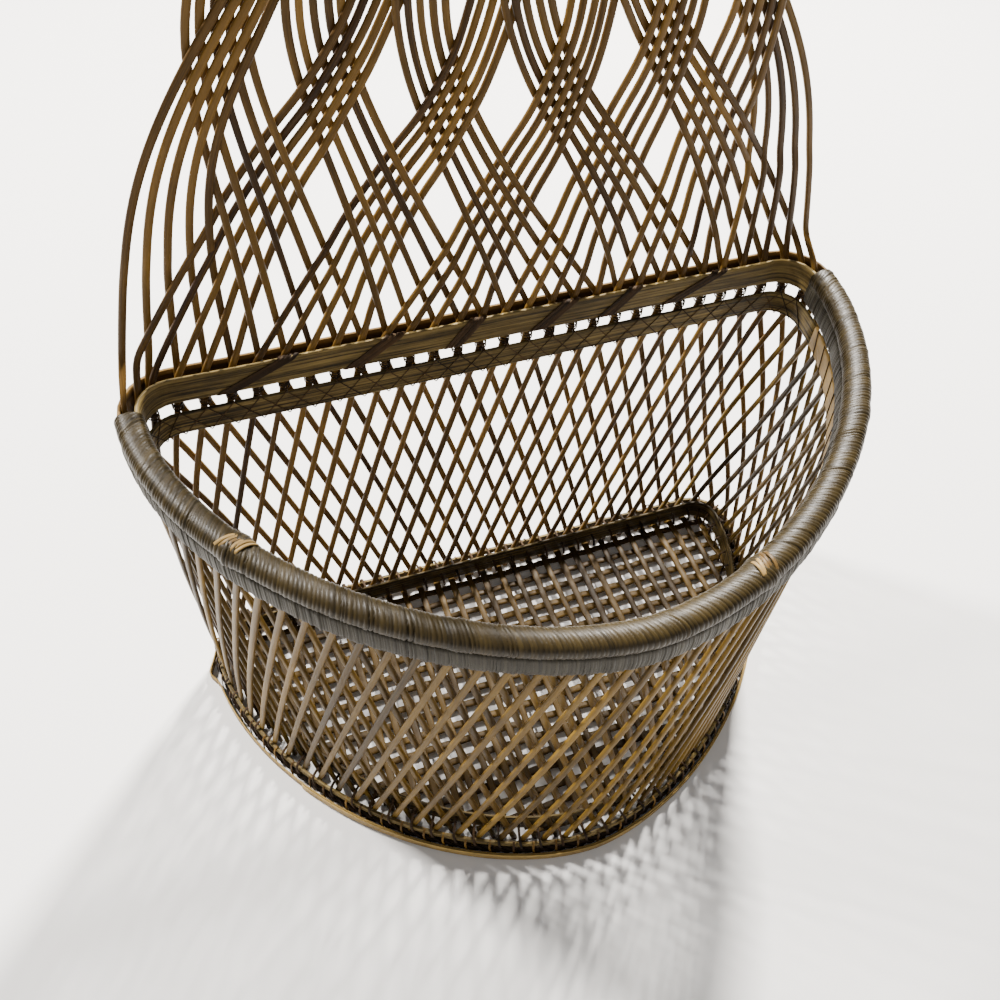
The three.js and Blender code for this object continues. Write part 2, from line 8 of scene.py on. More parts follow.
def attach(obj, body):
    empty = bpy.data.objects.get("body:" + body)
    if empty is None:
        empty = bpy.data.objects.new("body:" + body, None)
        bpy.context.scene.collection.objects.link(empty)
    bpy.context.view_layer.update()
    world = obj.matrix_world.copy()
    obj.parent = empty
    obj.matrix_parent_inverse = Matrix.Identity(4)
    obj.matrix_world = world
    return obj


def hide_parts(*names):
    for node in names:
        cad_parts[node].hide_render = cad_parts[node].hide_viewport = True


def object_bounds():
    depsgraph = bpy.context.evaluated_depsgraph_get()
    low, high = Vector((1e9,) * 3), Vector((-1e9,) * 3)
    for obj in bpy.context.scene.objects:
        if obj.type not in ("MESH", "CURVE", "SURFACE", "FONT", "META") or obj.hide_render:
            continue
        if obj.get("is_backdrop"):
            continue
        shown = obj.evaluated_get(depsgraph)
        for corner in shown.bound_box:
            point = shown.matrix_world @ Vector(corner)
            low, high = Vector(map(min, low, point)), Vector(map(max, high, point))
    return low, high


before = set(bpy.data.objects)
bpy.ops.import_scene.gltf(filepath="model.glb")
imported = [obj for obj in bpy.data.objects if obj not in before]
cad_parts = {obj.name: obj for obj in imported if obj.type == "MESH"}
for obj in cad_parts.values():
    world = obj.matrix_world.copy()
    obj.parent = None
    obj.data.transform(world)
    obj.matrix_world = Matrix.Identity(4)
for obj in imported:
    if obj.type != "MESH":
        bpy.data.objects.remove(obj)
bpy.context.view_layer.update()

rng = np.random.default_rng(7)

# Sizes in millimetres. x runs to the right, y toward the wall with 0 at the middle of the back
# splints, z up from the surface that the foot stands on.
MM = 0.001
FULL_TURN = 2 * math.pi
REST_Y = 59.525  # y of the back splints' middle in the part's frame
PAIRS, BACK_PAIRS, FRONT_PAIRS = 74, 30, 44  # splint pairs in all, across the back, round the front
LEAN = 5  # pairs that a splint passes between the floor and the crossing row
PAIR_WIDTH = 7.53  # spacing of the pairs across the back
FOOT_Z = 0.6  # lower ends of the splints
KNOT_Z = 128.0  # row where each pair crosses, in the slot under the band
BAND_Z, BAND_TOP = 130.5, 139.5
BAND_HEIGHT = BAND_TOP - BAND_Z
LOWER_STRIP_Z, LOWER_STRIP_HEIGHT = 118.5, 8.0
LAYER, BASE_LAYER = 0.85, 1.4  # splint layers from the middle of the wall, at the band and the floor
STRIP_IN, STRIP_OUT = 1.75, 2.85  # faces of a flat strip from the middle of the wall
STRIP = STRIP_OUT - STRIP_IN
STRIP_MIDDLE = (STRIP_IN + STRIP_OUT) / 2


def unit(rows):
    return rows / np.linalg.norm(rows, axis=1)[:, None]


def distance_along(points):
    """Length of a path up to each of its points."""
    return np.r_[0, np.cumsum(np.linalg.norm(np.diff(points, axis=0), axis=1))]


# Plan of the walls

FRONT_POWER = 2 / 1.75  # superellipse of the front, a little pointed at the nose
PLAN_STEP = 0.05  # pairs
NORMAL_SPAN = 4  # steps either side of a place for its normal


class Plan:
    """Closed D. Places are counted in splint pairs: along the back first, then round the front."""

    def __init__(self, half, depth, corner=12.0, back=0.0):
        side = back - corner
        turn = np.linspace(math.pi, math.pi / 2, 40)
        left = np.c_[-half + corner + corner * np.cos(turn), side + corner * np.sin(turn)]
        rear = np.r_[left, left[::-1] * [-1, 1]]
        turn = np.linspace(0, math.pi, 600)
        reach = np.sign(np.cos(turn)) * np.abs(np.cos(turn)) ** FRONT_POWER
        drop = np.maximum(np.sin(turn), 0) ** FRONT_POWER
        front = np.c_[half * reach, side - (depth + side) * drop]
        self.grid = np.arange(0, PAIRS, PLAN_STEP)
        self.xy = np.empty((len(self.grid), 2))
        on_back = self.grid <= BACK_PAIRS
        back_share = self.grid / BACK_PAIRS
        front_share = (self.grid - BACK_PAIRS) / FRONT_PAIRS
        for line, pick, share in ((rear, on_back, back_share), (front, ~on_back, front_share)):
            run = distance_along(line)
            at = share[pick] * run[-1]
            self.xy[pick] = np.c_[np.interp(at, run, line[:, 0]), np.interp(at, run, line[:, 1])]
        along = np.roll(self.xy, -NORMAL_SPAN, 0) - np.roll(self.xy, NORMAL_SPAN, 0)
        self.normal = unit(np.c_[-along[:, 1], along[:, 0]])

    def _pick(self, table, place):
        return np.c_[[np.interp(place, self.grid, table[:, i], period=PAIRS) for i in (0, 1)]].T

    def facing(self, place):
        """Outward direction at each place."""
        n = unit(self._pick(self.normal, np.atleast_1d(place)))
        return np.c_[n, np.zeros(len(n))]

    def at(self, place, offset, z):
        """Points at these places, offset outward."""
        place = np.atleast_1d(np.asarray(place, float))
        xy = self._pick(self.xy, place) + self.facing(place)[:, :2] * np.reshape(offset, (-1, 1))
        return np.c_[xy, np.broadcast_to(z, len(xy))]


top_plan = Plan(half=109.0, depth=117.0)
base_plan = Plan(half=105.5, depth=116.5)
foot_plan = Plan(half=110.5, depth=121.5, corner=16.0, back=2.45)


def wall(place, z, offset):
    """Point on the leaning wall, offset outward from the middle of its splints."""
    share = ((np.asarray(z, float) - FOOT_Z) / (KNOT_Z - FOOT_Z))[:, None]
    return base_plan.at(place, offset, z) * (1 - share) + top_plan.at(place, offset, z) * share


# Mesh making

class Builder:
    """Collects swept strands into one mesh, with a grain position and a tint for the materials."""

    def __init__(self):
        self.verts, self.faces, self.grain, self.tint, self.count = [], [], [], [], 0

    def sweep(self, path, facing, section, tint, closed=False):
        """A section moved along a path, with its width along the facing."""
        path = np.asarray(path, float)
        n, m = len(path), len(section)
        if closed:
            tangent = unit(np.roll(path, -1, 0) - np.roll(path, 1, 0))
        else:
            tangent = unit(np.gradient(path, axis=0))
        facing = np.broadcast_to(np.asarray(facing, float), (n, 3))
        side = unit(np.cross(tangent, facing))
        out = np.cross(side, tangent)
        ring = (
            path[:, None, :]
            + section[None, :, :1] * out[:, None, :]
            + section[None, :, 1:] * side[:, None, :]
        )
        grain = np.empty((n, m, 3))
        grain[:, :, 0] = distance_along(path)[:, None] + rng.uniform(0, 4000)
        grain[:, :, 1] = section[None, :, 0] + rng.uniform(0, 50)
        grain[:, :, 2] = section[None, :, 1]
        self.add(ring, grain, np.broadcast_to(tint, (n, m)), closed)

    def add(self, points, grain, tint, closed=False):
        """A tube from rows of points, with capped ends unless it closes on itself."""
        n, m = points.shape[:2]
        start = self.count
        self.count += n * m
        self.verts.append(points.reshape(-1, 3))
        self.grain.append(grain.reshape(-1, 3))
        self.tint.append(tint.ravel())
        rows = np.arange(n if closed else n - 1)
        here = start + rows[:, None] * m + np.arange(m)[None, :]
        beside = start + rows[:, None] * m + (np.arange(m)[None, :] + 1) % m
        up = ((rows + 1) % n - rows)[:, None] * m
        quads = np.stack([here, here + up, beside + up, beside], axis=2).reshape(-1, 4)
        self.faces.extend(quads.tolist())
        if not closed:
            self.faces.append(list(range(start, start + m)))
            self.faces.append(list(range(start + (n - 1) * m, start + n * m))[::-1])

    def finish(self, name, material, slot, *nodes):
        verts = np.concatenate(self.verts)
        verts = (verts + [0, REST_Y, 0]) * MM
        mesh = bpy.data.meshes.new(name)
        mesh.from_pydata(verts.tolist(), [], self.faces)
        mesh.attributes.new("grain", "FLOAT_VECTOR", "POINT").data.foreach_set(
            "vector", np.concatenate(self.grain).astype(np.float32).ravel()
        )
        mesh.attributes.new("tint", "FLOAT", "POINT").data.foreach_set(
            "value", np.concatenate(self.tint).astype(np.float32)
        )
        mesh.polygons.foreach_set("use_smooth", [True] * len(mesh.polygons))
        mesh.update()
        obj = bpy.data.objects.new(name, mesh)
        bpy.context.scene.collection.objects.link(obj)
        mesh.materials.append(material)
        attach(obj, "root")
        if nodes:
            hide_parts(*nodes)


def rounded(width, height, power, count):
    """Superellipse section: width along the outward direction, height across it."""
    t = np.linspace(0, FULL_TURN, count, endpoint=False) + math.pi / count
    c, s = np.cos(t), np.sin(t)
    return np.c_[
        width / 2 * np.sign(c) * np.abs(c) ** (2 / power),
        height / 2 * np.sign(s) * np.abs(s) ** (2 / power),
    ]


def resample(points, facings, spacing, soften):
    """Even steps along a path, with its kinks softened."""
    run = distance_along(points)
    at = np.linspace(0, run[-1], max(int(run[-1] / spacing), 4))
    p = np.c_[[np.interp(at, run, points[:, i]) for i in range(3)]].T
    f = np.c_[[np.interp(at, run, facings[:, i]) for i in range(3)]].T
    for _ in range(soften):
        p[1:-1] = (p[:-2] + 2 * p[1:-1] + p[2:]) / 4
        f[1:-1] = (f[:-2] + 2 * f[1:-1] + f[2:]) / 4
    return p, unit(f)


def wobble(count, amount, waves):
    """Slow seeded unevenness along a strand."""
    t = np.linspace(0, 1, count)
    total = np.zeros(count)
    for k in range(1, waves + 1):
        total += rng.normal() / k * np.sin(FULL_TURN * (k * t * 0.9 + rng.uniform()))
    return amount * total


# Materials

def material(name, dark, light, rough, streak=2.4, bump=0.25, sheen=0.0, stain=0.35, lines=0.55):
    """Cane or bamboo: long fibres along the strand, blotches, and darker and lighter strands."""
    m = bpy.data.materials.new(name)
    m.use_nodes = True
    nodes, links = m.node_tree.nodes, m.node_tree.links
    nodes.clear()

    def node(kind, **values):
        made = nodes.new(kind)
        for key, value in values.items():
            setattr(made, key, value)
        return made

    def noise(scale, detail, roughness):
        mapping = node("ShaderNodeMapping")
        mapping.inputs["Scale"].default_value = scale
        made = node("ShaderNodeTexNoise")
        made.inputs["Scale"].default_value = 1.0
        made.inputs["Detail"].default_value = detail
        made.inputs["Roughness"].default_value = roughness
        links.new(grain.outputs["Vector"], mapping.inputs["Vector"])
        links.new(mapping.outputs["Vector"], made.inputs["Vector"])
        return made

    def ramp(low, low_colour, high, high_colour):
        made = node("ShaderNodeValToRGB")
        for element, position, colour in zip(
            made.color_ramp.elements, (low, high), (low_colour, high_colour)
        ):
            element.position = position
            element.color = (*colour, 1)
        return made

    out = node("ShaderNodeOutputMaterial")
    shader = node("ShaderNodeBsdfPrincipled")
    grain = node("ShaderNodeAttribute", attribute_name="grain")
    tint = node("ShaderNodeAttribute", attribute_name="tint")
    fibre = noise((0.035, streak, streak), 5.0, 0.65)
    blotch = noise((0.045, 0.12, 0.12), 3.0, 0.5)

    # Fibre lines round the strand's own tint
    mix = node("ShaderNodeMath", operation="MULTIPLY_ADD")
    mix.inputs[1].default_value = lines
    links.new(fibre.outputs["Fac"], mix.inputs[0])
    links.new(tint.outputs["Fac"], mix.inputs[2])
    lower = node("ShaderNodeMath", operation="SUBTRACT")
    lower.inputs[1].default_value = lines / 2
    links.new(mix.outputs[0], lower.inputs[0])
    shades = ramp(0.12, dark, 0.88, light)
    links.new(lower.outputs[0], shades.inputs["Fac"])

    stains = ramp(0.36, (1 - stain, 1 - stain * 1.05, 1 - stain * 1.1), 0.56, (1, 1, 1))
    links.new(blotch.outputs["Fac"], stains.inputs["Fac"])
    colour = node("ShaderNodeMix", data_type="RGBA", blend_type="MULTIPLY")
    colour.inputs["Factor"].default_value = 1.0
    links.new(shades.outputs["Color"], colour.inputs["A"])
    links.new(stains.outputs["Color"], colour.inputs["B"])
    links.new(colour.outputs["Result"], shader.inputs["Base Color"])

    gloss = node("ShaderNodeMapRange")
    gloss.inputs["To Min"].default_value = rough - 0.12
    gloss.inputs["To Max"].default_value = rough + 0.14
    links.new(fibre.outputs["Fac"], gloss.inputs["Value"])
    links.new(gloss.outputs["Result"], shader.inputs["Roughness"])
    relief = node("ShaderNodeBump")
    relief.inputs["Strength"].default_value = bump
    relief.inputs["Distance"].default_value = 0.0004
    links.new(fibre.outputs["Fac"], relief.inputs["Height"])
    links.new(relief.outputs["Normal"], shader.inputs["Normal"])
    shader.inputs["Specular IOR Level"].default_value = 0.16
    shader.inputs["Coat Weight"].default_value = sheen
    shader.inputs["Coat Roughness"].default_value = 0.3
    links.new(shader.outputs["BSDF"], out.inputs["Surface"])
    return m


cane = material("cane", (0.022, 0.008, 0.0012), (0.20, 0.108, 0.019), 0.45, lines=0.7)
pale_cane = material("pale_cane", (0.030, 0.016, 0.002), (0.215, 0.125, 0.018), 0.45, lines=0.7)
# Floor splints: pale_cane darkened, painted shade of the basket's inside
mat_cane_painted_shade = material("mat_cane_painted_shade", (0.016, 0.008, 0.001), (0.105, 0.060, 0.010), 0.5, lines=0.7)
bamboo = material(
    "bamboo", (0.015, 0.009, 0.002), (0.215, 0.15, 0.05), 0.5, streak=1.6, bump=0.6, lines=3.0
)
tan_strip = material(
    "tan_strip", (0.08, 0.038, 0.008), (0.40, 0.26, 0.08), 0.5, streak=1.3, bump=0.4, lines=0.9
)
red_strip = material("red_strip", (0.012, 0.004, 0.001), (0.15, 0.085, 0.022), 0.6, streak=1.3)
wrap = material(
    "wrap", (0.009, 0.006, 0.0015), (0.052, 0.035, 0.010), 0.4,
    streak=3.0, bump=0.3, sheen=0.06, stain=0.25,
)
# Greyer and less saturated than the bead's wrap: painted reflection of the sky on the skirt
skirt = material(
    "skirt", (0.012, 0.010, 0.006), (0.056, 0.048, 0.031), 0.5, streak=3.0, bump=0.3, stain=0.2
)
thread = material("thread", (0.008, 0.004, 0.0015), (0.06, 0.032, 0.012), 0.7, streak=4.0, bump=0.5)
foot_cane = material("foot_cane", (0.10, 0.05, 0.010), (0.42, 0.28, 0.085), 0.5, streak=1.3)
knot_cane = material("knot_cane", (0.09, 0.05, 0.014), (0.34, 0.22, 0.075), 0.45, streak=2.0)


# Splints of the walls and the plaited panel

SPLINT_THICKNESS, SPLINT_WIDTH = (1.25, 1.45), (1.85, 2.15)  # least and most
DARK_SHARE, DARK_TINT = 0.07, 0.45  # a few strands are darker
WALL_STEPS = 44
LAYER_CURVE = 1.6  # the layers close up toward the top along this power of the height
FLARE_Z, FLARE_CURVE = 8.0, 1.5  # under this height the outer splints spread to the foot

BUNDLES, RODS, MIDDLE_ROD = 6, 5, 2  # bundles leaning each way, and the splints of a bundle
ROW_Z = (142.0, 175.0, 201.0, 229.0)  # rows of crossing bundles, on the middle line
ROW_RISE = (0.0, 9.5, 11.0, 8.0)  # how much a row climbs for each bundle away from the middle
ROD_PITCH = (7.55, 4.6, 3.2, 3.0)  # spacing of a bundle's splints at each row
LAST_ROW = len(ROW_Z) - 1
PANEL_HALF_WIDTH, EDGE_LEAN, EDGE_CURVE = 113.5, 0.33, 0.0004
TURN_CLEAR = 0.25  # nearest that a bundle's middle comes to the edge, in bundle widths
TURN_SQUEEZE = 0.87  # how close its splints lie there
TURN_ROWS = 0.4  # rows that the turn itself takes
PLAIT_LAYER = 0.9
PLAIT_STIFFNESS = 60000.0
END_WEIGHT = 300  # how firmly a splint is held at the band and the head
EASE_RISE = 10  # height over the band at which the plait has its full depth
EASE_STEPS = 8  # heights that a corner splint skips to reach the plane of the panel
CORNER_FACING = 0.98  # a splint that faces the wall less than this passes a corner of the band
OUTERMOST_SHIFT = 0.6  # pairs that the outermost splints move along in the slot
SLOT_SHARES = np.array([0.38, 1.03])  # shares of such a shift at the two heights in the slot
SLOT_Z = (KNOT_Z + 4.4, BAND_TOP + 0.3)
SLOT_STEPS = 4.0  # steps of the panel by which the other splints run on down into the slot
DRAW_IN_Z = 262  # over this the bundles draw in to the head
HEAD_Z, HEAD_TOP = 290.0, 303.0
HEAD_BUNDLE_PITCH, HEAD_ROD_PITCH = 10.4, 1.8
PANEL_Z = np.arange(BAND_TOP, HEAD_Z + 0.5, 1.0)
TOWARD_WALL = [0.0, 1.0, 0.0]


def wall_run(foot, place, side, top_z, top_layer, flare=0.0):
    """A splint on the inner (-1) or outer (+1) side of the wall, from the floor up."""
    rate = (place - foot) / (KNOT_Z - FOOT_Z)
    z = np.linspace(FOOT_Z, top_z, WALL_STEPS)
    t = (z - FOOT_Z) / (top_z - FOOT_Z)
    along = foot + (z - FOOT_Z) * rate
    spread = flare * np.clip(1 - z / FLARE_Z, 0, 1) ** FLARE_CURVE
    layer = BASE_LAYER + (top_layer - BASE_LAYER) * t ** LAYER_CURVE + spread
    return wall(along, z, side * layer), top_plan.facing(along)


def panel_half(z):
    rise = z - BAND_TOP
    return PANEL_HALF_WIDTH - EDGE_LEAN * rise - EDGE_CURVE * rise * rise


def row_point(i, k, row):
    """Splint k of right-leaning bundle i at a row; a bundle that reaches the edge turns back."""
    to_edge = max(abs(row / 2 - BUNDLES + i + 0.5), TURN_CLEAR)
    place = BUNDLES / 2 - to_edge
    z = ROW_Z[row] + ROW_RISE[row] * abs(place)
    pitch = ROD_PITCH[row] * (1.0 if to_edge > TURN_CLEAR else TURN_SQUEEZE)
    return place / (BUNDLES / 2) * panel_half(z) + (k - MIDDLE_ROD) * pitch, z


def turned(i, row):
    """Whether the bundle has turned back before this row."""
    return row > 2 * (BUNDLES - (i + 0.5)) + TURN_ROWS


def plait_side(i, row):
    """In front (-1) or behind (+1) at a row."""
    return 1 if (row % 2 == 0) == turned(i, row) else -1


def head_seat(i, k):
    x, z = row_point(i, MIDDLE_ROD, LAST_ROW)
    seat = round(x / panel_half(z) * BUNDLES / 2) + (0.5 if turned(i, LAST_ROW) else -0.5)
    return seat * HEAD_BUNDLE_PITCH + (k - MIDDLE_ROD) * HEAD_ROD_PITCH, HEAD_Z


def plait_lines():
    """x of every right-leaning splint over PANEL_Z: through its rows, but too stiff to kink there."""
    n = len(PANEL_Z)
    drawn = np.empty((BUNDLES * RODS, n))
    for i in range(BUNDLES):
        for k in range(RODS):
            rows = [(row_point(i, k, 0)[0], BAND_TOP)]
            rows += [row_point(i, k, r) for r in range(1, LAST_ROW + 1)]
            x, z = np.array(rows + [head_seat(i, k)]).T
            drawn[i * RODS + k] = np.interp(PANEL_Z, z, x)
    bend = np.diff(np.eye(n), 2, axis=0)
    weight = np.ones(n)
    weight[[0, -1]] = END_WEIGHT
    held = np.diag(weight) + PLAIT_STIFFNESS * bend.T @ bend
    return np.linalg.solve(held, (drawn * weight).T).T.reshape(BUNDLES, RODS, n)


def plait_crossings(lines):
    """Lowest and highest crossing of each splint at each row, or NaN where it meets none."""
    reach = np.full((BUNDLES, RODS, LAST_ROW + 1, 2), np.nan)
    others = np.concatenate([lines, -lines])
    for i in range(BUNDLES):
        for j in range(2 * BUNDLES):
            if j == i:
                continue
            gap = lines[i][:, None, :] - others[j][None, :, :]
            swapped = gap[:, :, 1:] * gap[:, :, :-1] < 0
            k, _, at = np.nonzero(swapped & (PANEL_Z[1:] < DRAW_IN_Z))
            if len(at) == 0:
                continue
            z, x = PANEL_Z[at] + 0.5, lines[i][k, at]
            share = np.abs(np.median(x)) / panel_half(np.median(z)) * BUNDLES / 2
            row = int(np.argmin(np.abs(np.median(z) - ROW_Z - np.array(ROW_RISE) * share)))
            for rod in range(RODS):
                if np.any(k == rod):
                    reach[i, rod, row, 0] = np.fmin(reach[i, rod, row, 0], z[k == rod].min())
                    reach[i, rod, row, 1] = np.fmax(reach[i, rod, row, 1], z[k == rod].max())
    return reach


plait = plait_lines()
crossed = plait_crossings(plait)


def panel_depth(i, k):
    """y over PANEL_Z: a splint changes sides between its last crossing at a row and the next row's first."""
    y = np.full(len(PANEL_Z), -1.0)
    for row in range(LAST_ROW):
        leave, meet = crossed[i, k, row, 1], crossed[i, k, row + 1, 0]
        leave = ROW_Z[row] if np.isnan(leave) else leave
        meet = row_point(i, k, row + 1)[1] if np.isnan(meet) else meet
        middle, half = (leave + meet) / 2, max((meet - leave) / 2 - 1.0, 5.0)
        t = np.clip((PANEL_Z - middle) / half / 2 + 0.5, 0, 1)
        t = t * t * (3 - 2 * t)
        passing = plait_side(i, row) * (1 - t) + plait_side(i, row + 1) * t
        y = np.where(PANEL_Z > middle - half, passing, y)
    depth = np.interp(
        PANEL_Z, (BAND_TOP, BAND_TOP + EASE_RISE, DRAW_IN_Z, HEAD_Z),
        (LAYER, PLAIT_LAYER, PLAIT_LAYER, LAYER),
    )
    return depth * y


def back_splint(i, k, leans_right):
    """One splint of a bundle from the floor to the head, worked out as if it leaned right."""
    place = RODS * i + k + 0.5
    side = -1 if leans_right else 1
    foot = place - LEAN + rng.normal() * 0.04
    low, low_face = wall_run(foot, place + rng.normal() * 0.02, side, KNOT_Z, LAYER)
    upper = np.c_[plait[i, k], panel_depth(i, k), PANEL_Z]
    upper = np.r_[upper, [[upper[-1, 0], upper[-1, 1], HEAD_TOP - 1.5]]]
    if not leans_right:
        upper[:, 1] *= -1
    at_corner = top_plan.facing(place)[0, 1] < CORNER_FACING
    if at_corner:
        shift = (upper[0, 0] - top_plan.at(place, 0, 0)[0, 0]) / PAIR_WIDTH
        if min(place, BACK_PAIRS - place) < 1:
            shift = OUTERMOST_SHIFT
        moved = np.minimum(place + shift * SLOT_SHARES, BACK_PAIRS - 0.2)
        slot = top_plan.at(moved, side * LAYER, SLOT_Z)
        slot_face, upper = top_plan.facing(moved), upper[EASE_STEPS:]
    else:
        drop = upper[0] - SLOT_STEPS * (upper[1] - upper[0])
        slot, slot_face = np.array([[drop[0], side * LAYER, drop[2]]]), np.array([TOWARD_WALL])
    points = np.r_[low, slot, upper]
    faces = np.r_[low_face, slot_face, np.tile(TOWARD_WALL, (len(upper), 1))]
    points, faces = resample(points, faces, spacing=2.0, soften=3)
    points[:, 0] += wobble(len(points), amount=0.16, waves=3)
    points[:, 1] += wobble(len(points), amount=0.05, waves=3)
    if not leans_right:
        points[:, 0] *= -1
        faces[:, 0] *= -1
    return points, faces


def strand_tint(middle, spread):
    """Most strands are alike, and a few are dark."""
    tint = float(np.clip(rng.normal(middle, spread), 0.05, 0.95))
    return tint * (DARK_TINT if rng.random() < DARK_SHARE else 1.0)


def splint_section():
    return rounded(rng.uniform(*SPLINT_THICKNESS), rng.uniform(*SPLINT_WIDTH), 3.2, 10)


for i in range(BUNDLES):
    for leans_right in (True, False):
        b = Builder()
        for k in range(RODS):
            points, faces = back_splint(i, k, leans_right)
            b.sweep(points, faces, splint_section(), strand_tint(0.5, 0.13))
        name = f"right_{i + 1}" if leans_right else f"left_{BUNDLES - i}"
        b.finish(f"plaited_splints_{name}", cane, "cane", f"back_bundle_{name}")

FRONT_GROUPS = 11
GROUP_PAIRS = FRONT_PAIRS // FRONT_GROUPS
FRONT_TOP_Z, FRONT_TOP_LAYER = 137.0, 1.05  # the front splints end inside the rim
FOOT_FLARE = 2.6
for group in range(FRONT_GROUPS):
    b = Builder()
    for n in range(GROUP_PAIRS):
        place = BACK_PAIRS + group * GROUP_PAIRS + n + 0.5
        for side in (-1, 1):
            foot = place + side * LEAN + rng.normal() * 0.03
            here = place + rng.normal() * 0.03
            flare = FOOT_FLARE if side > 0 else 0.0
            points, faces = wall_run(foot, here, side, FRONT_TOP_Z, FRONT_TOP_LAYER, flare)
            points[:, :2] += faces[:, :2] * wobble(len(points), amount=0.06, waves=3)[:, None]
            # Inner splints (side -1) get a lower tint than the outer ones: painted shade of the basket's
            # inside
            b.sweep(points, faces, splint_section(), strand_tint(0.52 if side > 0 else 0.4, 0.13))
    b.finish(f"wall_splints_{group + 1}", pale_cane, "pale_cane", f"front_splints_{group + 1}")


# Strips and hoops

CORNER_PLACE, CORNER_REACH = 73.7, 0.45  # where the foot's left corner stands proud, and how wide
SAG_RATE = 0.9  # waves of a sagging strip, in radians for each pair
PALE_FROM = 0.42  # the upper edge is paler from this share of the height over the middle


def hoop(
    builder, plan, middle, z, thick, height, tint,
    start=0.0, end=PAIRS, step=0.4, sag=0.0, edge=0.0, proud=0.0,
):
    """Flat strip bent round a plan, all the way or between two places, with a paler upper edge."""
    closed = end - start >= PAIRS
    if closed:
        places = np.arange(start, end, step)
    else:
        places = np.linspace(start, end, int((end - start) / step) + 2)
    heights = z + height / 2 + sag * np.sin(places * SAG_RATE) * 0.5
    near = (places - CORNER_PLACE + PAIRS / 2) % PAIRS - PAIRS / 2
    path = plan.at(places, middle + proud * np.exp(-((near / CORNER_REACH) ** 2)), heights)
    section = rounded(thick, height, 7.0, 16)
    tints = tint + edge * (section[:, 1] > PALE_FROM * height)
    builder.sweep(path, plan.facing(places), section, tints, closed)


b = Builder()
hoop(b, top_plan, -STRIP_MIDDLE, BAND_Z, STRIP, BAND_HEIGHT, tint=0.5, sag=0.25, edge=0.25)
b.finish("band_front_strip", bamboo, "bamboo", "upper_band_inner")
b = Builder()
hoop(b, top_plan, STRIP_MIDDLE, BAND_Z, STRIP, BAND_HEIGHT, tint=0.25, sag=0.2, edge=0.65)
b.finish("band_rear_strip", red_strip, "bamboo", "upper_band_outer")
lower = (top_plan, -STRIP_MIDDLE - 0.3, LOWER_STRIP_Z, STRIP, LOWER_STRIP_HEIGHT)
b = Builder()
hoop(b, *lower, tint=0.4, start=-1.5, end=31.5)
b.finish("lacing_strip_back", bamboo, "bamboo", "lower_strip")
b = Builder()
hoop(b, *lower, tint=0.6, start=31.6, end=PAIRS - 1.6)
b.finish("lacing_strip_front", tan_strip, "bamboo", "lower_strip")
b = Builder()
hoop(b, base_plan, -STRIP_MIDDLE - 1.3, z=5.2, thick=STRIP, height=9.0, tint=0.25)
b.finish("floor_hoop", bamboo, "bamboo", "base_inner_hoop")
b = Builder()
hoop(b, base_plan, STRIP_MIDDLE + 0.6, z=5.8, thick=1.2, height=2.6, tint=0.55, sag=0.5)
b.finish("skirt_strip", bamboo, "bamboo", "base_outer_strip")
b = Builder()
hoop(b, foot_plan, 0.3, z=0.1, thick=0.6, height=3.6, tint=0.4, step=0.2, edge=0.3, proud=2.3)
hoop(b, foot_plan, 0.85, z=0.0, thick=0.4, height=3.2, tint=0.5, start=33.0, end=54.5, edge=0.3)
hoop(b, foot_plan, 0.95, z=0.3, thick=0.4, height=3.7, tint=0.6, start=49.5, end=66.0, edge=0.3)
b.finish("foot_strips", foot_cane, "pale_cane", "foot_strip")


# Rim: a fine flat strand wound round the band, with a rounded bead over a thinner skirt.
# Sections are given as distance outward from the middle of the wall, and height.

RIM_START, RIM_END = BACK_PAIRS + 0.1, PAIRS - 0.1
BEAD = (
    (3.0, 135.3), (3.7, 136.0), (4.1, 137.1), (4.0, 138.5), (3.3, 139.8), (2.0, 140.6), (0, 140.95),
    (-2.0, 140.6), (-3.3, 139.8), (-4.0, 138.5), (-4.1, 137.1), (-3.7, 136.0), (-3.0, 135.3),
)
SKIRT = (
    (2.3, 128.1), (3.4, 127.9), (3.95, 128.8), (4.15, 131.0), (4.1, 134.2), (3.7, 136.3), (0, 136.8),
    (-3.7, 136.3), (-4.1, 134.2), (-4.1, 131.5), (-3.95, 129.4), (-3.4, 128.6), (-2.3, 128.5),
)
SWELLS = ((0.12, 21, 1), (0.1, 9.3, 2), (0.08, 47, 0))  # slow unevenness: heights, lengths, phases
LUMPS = ((66.4, 1.1), (47.6, 0.9), (38.5, 0.4), (58.3, 0.35))  # places and heights
LUMP_REACH = 0.35  # pairs
TURN_STEPS = 7  # rows of points in a turn
WIDTH_SPREAD = 0.22  # unevenness of the turns, as a share of their width
DEEP_SHARE, DEEP_GROOVE = 0.07, 3.0  # some grooves are deeper


def smooth_loop(points, count):
    """Closed section with its corners cut, in even steps, and the distance round it."""
    p = np.array(points, float)
    for _ in range(2):
        q = np.roll(p, -1, 0)
        p = np.stack([0.75 * p + 0.25 * q, 0.25 * p + 0.75 * q], 1).reshape(-1, 2)
    p = np.r_[p, p[:1]]
    run = distance_along(p)
    at = np.linspace(0, run[-1], count, endpoint=False)
    return np.c_[np.interp(at, run, p[:, 0]), np.interp(at, run, p[:, 1])], at


